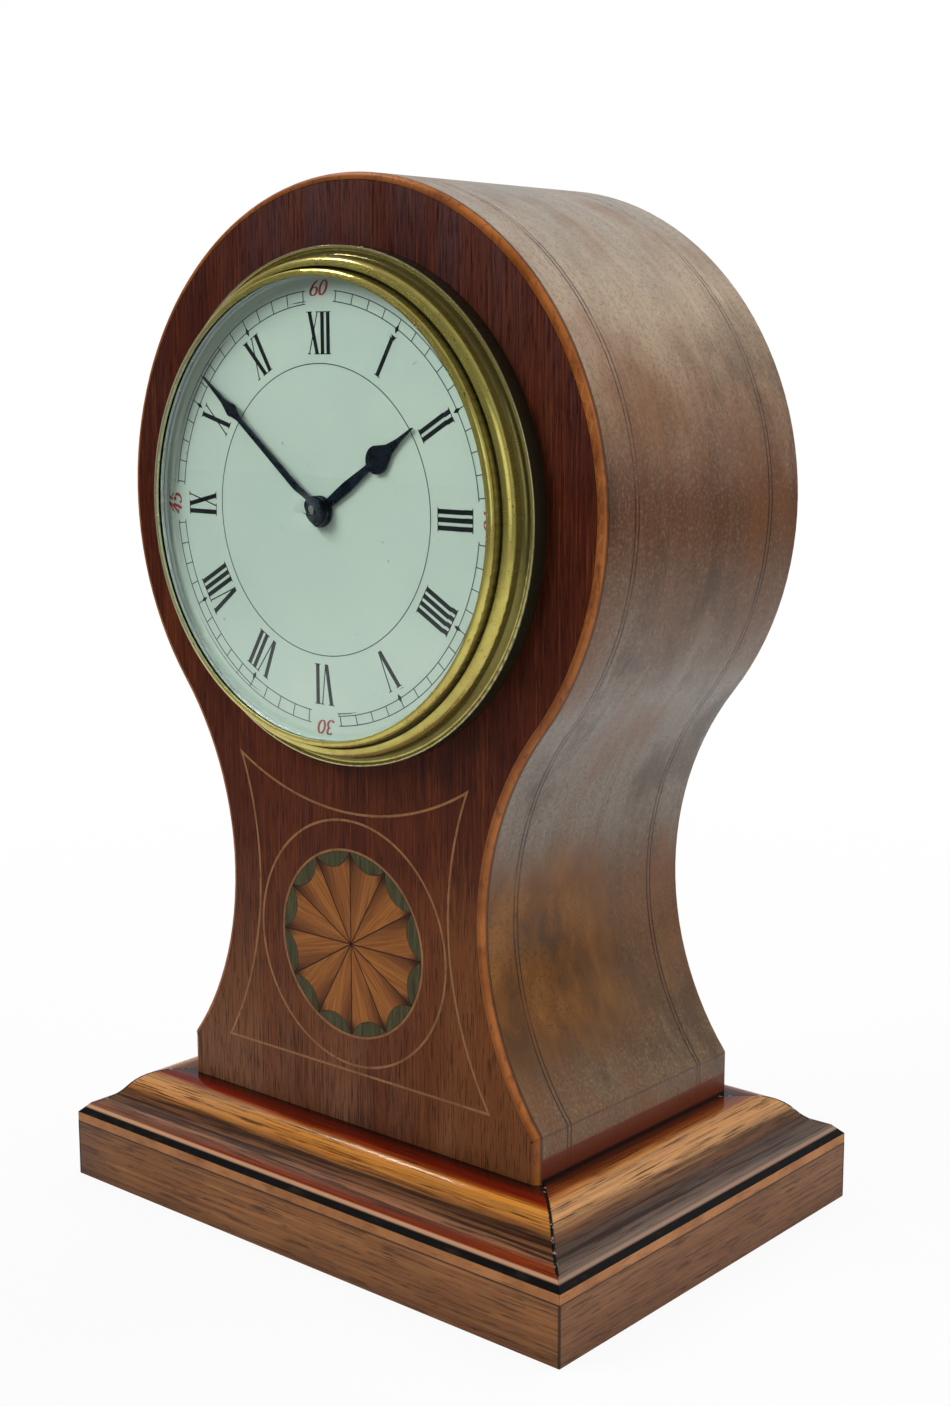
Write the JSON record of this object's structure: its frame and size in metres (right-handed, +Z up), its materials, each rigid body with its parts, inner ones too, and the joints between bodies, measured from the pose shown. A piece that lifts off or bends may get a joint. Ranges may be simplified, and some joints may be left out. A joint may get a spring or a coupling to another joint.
{
  "type": "balloon clock",
  "caption": "Balloon-shaped mantel clock: inlaid wooden case on a moulded base, round brass bezel with domed glass, enamel dial, spade hands and a rear-wound movement.",
  "frame": {"origin": "middle of the underside of the base", "axes": "+X to the right seen from the front, -Y towards the front, +Z up"},
  "size_m": [0.151, 0.11, 0.2376],
  "materials": {
    "mahogany": "polished",
    "side_veneer": "polished",
    "boxwood": "polished",
    "petal_wood": "polished",
    "stained_wood": "polished",
    "ebonised_wood": "polished",
    "gilt_brass": "polished",
    "brass": "satin",
    "steel": "satin",
    "blued_steel": "polished",
    "enamel": "glossy",
    "glass": "clear"
  },
  "bodies": {
    "case": {"front_board": "mahogany", "front_veneer": "mahogany", "plinth": "side_veneer", "base_moulding": "side_veneer", "case_floor": "side_veneer", "back_board": "side_veneer", "side_wall_left": "side_veneer", "side_wall_right": "side_veneer", "crossband": "boxwood", "edge_stringing": "boxwood", "panel_stringing": "boxwood", "circle_stringing": "boxwood", "patera_border": "boxwood", "patera_petals": "petal_wood", "patera_scallops": "stained_wood", "ebonised_band": "ebonised_wood", "bezel": "gilt_brass", "sight_ring": "gilt_brass", "rear_ring": "gilt_brass", "movement_ring": "brass", "front_plate": "brass", "back_plate": "brass", "pillars": "brass", "platform": "brass", "pallet_cock": "brass", "balance_cock": "brass", "base_screws": "steel", "movement_screws": "steel", "click_spring": "steel", "clamp_screws": "steel", "hinge_pin": "steel", "hairspring": "blued_steel", "dial": "enamel", "bezel_glass": "glass"},
    "minute_hand_and_cannon": {"minute_hand": "blued_steel", "cannon_pinion": "brass"},
    "minute_wheel": {"minute_wheel": "brass"},
    "hour_hand_and_wheel": {"hour_hand": "blued_steel", "hour_wheel": "brass"},
    "setting": {"setting_arbor": "steel", "setting_knob": "brass"},
    "centre": {"centre_wheel": "brass", "hand_collet": "blued_steel"},
    "intermediate": {"intermediate_wheel": "brass"},
    "barrel": {"barrel": "brass", "barrel_cap": "brass", "mainspring": "steel"},
    "third": {"third_wheel": "brass"},
    "fourth": {"fourth_wheel": "brass"},
    "escape": {"escape_wheel": "steel"},
    "winding": {"winding_arbor": "steel", "ratchet_wheel": "steel"},
    "click": {"click": "steel"},
    "lever": {"pallet_lever": "steel"},
    "balance": {"balance_wheel": "brass"},
    "regulator": {"regulator_index": "steel"},
    "rear_door": {"rear_door": "gilt_brass", "door_knob": "gilt_brass"}
  },
  "joints": [
    {"name": "minute_hand_turn", "type": "hinge", "parent": "case", "child": "minute_hand_and_cannon", "pos_m": [0, 0, 0.1666], "axis": [0, 1, 0], "continuous": true},
    {"name": "minute_wheel_turn", "type": "hinge", "parent": "case", "child": "minute_wheel", "pos_m": [-0.00912, 0, 0.15881], "axis": [0, 1, 0], "continuous": true},
    {"name": "hour_hand_turn", "type": "hinge", "parent": "case", "child": "hour_hand_and_wheel", "pos_m": [0, 0, 0.1666], "axis": [0, 1, 0], "continuous": true},
    {"name": "setting_knob_turn", "type": "hinge", "parent": "case", "child": "setting", "pos_m": [-0.02099, 0, 0.1606], "axis": [0, 1, 0], "continuous": true},
    {"name": "barrel_turn", "type": "hinge", "parent": "case", "child": "barrel", "pos_m": [0, 0, 0.1446], "axis": [0, 1, 0], "continuous": true},
    {"name": "third_wheel_turn", "type": "hinge", "parent": "case", "child": "third", "pos_m": [-0.01559, 0, 0.1756], "axis": [0, 1, 0], "continuous": true},
    {"name": "centre_wheel_turn", "type": "hinge", "parent": "case", "child": "centre", "pos_m": [0, 0, 0.1666], "axis": [0, 1, 0], "continuous": true},
    {"name": "intermediate_wheel_turn", "type": "hinge", "parent": "case", "child": "intermediate", "pos_m": [0.01595, 0, 0.15826], "axis": [0, 1, 0], "continuous": true},
    {"name": "fourth_wheel_turn", "type": "hinge", "parent": "case", "child": "fourth", "pos_m": [-0.00398, 0, 0.1849], "axis": [0, 1, 0], "continuous": true},
    {"name": "escape_wheel_turn", "type": "hinge", "parent": "case", "child": "escape", "pos_m": [0.00687, 0, 0.18885], "axis": [0, 1, 0], "continuous": true},
    {"name": "winding", "type": "hinge", "parent": "case", "child": "winding", "pos_m": [0, 0, 0.1446], "axis": [0, -1, 0], "range_deg": [0, 1440]},
    {"name": "click_lift", "type": "hinge", "parent": "case", "child": "click", "pos_m": [-0.00771, 0, 0.15379], "axis": [0, -1, 0], "range_deg": [0, 12], "stiffness_Nm_per_rad": 0.0002, "springref_deg": -22.92},
    {"name": "lever_swing", "type": "hinge", "parent": "case", "child": "lever", "pos_m": [0.01189, 0, 0.18637], "axis": [0, 1, 0], "range_deg": [-4, 4]},
    {"name": "balance_swing", "type": "hinge", "parent": "case", "child": "balance", "pos_m": [0.01853, 0, 0.18309], "axis": [0, 1, 0], "range_deg": [-135, 135], "stiffness_Nm_per_rad": 0.0000043},
    {"name": "regulator_turn", "type": "hinge", "parent": "case", "child": "regulator", "pos_m": [0.01853, 0, 0.18309], "axis": [0, 1, 0], "range_deg": [-20, 20]},
    {"name": "rear_door_open", "type": "hinge", "parent": "case", "child": "rear_door", "pos_m": [0.0446, 0.0386, 0.1666], "axis": [0, 0, -1], "range_deg": [0, 110]}
  ],
  "couplings": [
    {"joint": "minute_wheel_turn", "follows": "minute_hand_turn", "ratio": -0.33333},
    {"joint": "hour_hand_turn", "follows": "minute_hand_turn", "ratio": 0.083333},
    {"joint": "setting_knob_turn", "follows": "minute_hand_turn", "ratio": 1},
    {"joint": "intermediate_wheel_turn", "follows": "barrel_turn", "ratio": -6},
    {"joint": "centre_wheel_turn", "follows": "barrel_turn", "ratio": 48},
    {"joint": "third_wheel_turn", "follows": "barrel_turn", "ratio": -384},
    {"joint": "fourth_wheel_turn", "follows": "barrel_turn", "ratio": 2880},
    {"joint": "escape_wheel_turn", "follows": "barrel_turn", "ratio": -28800}
  ]
}
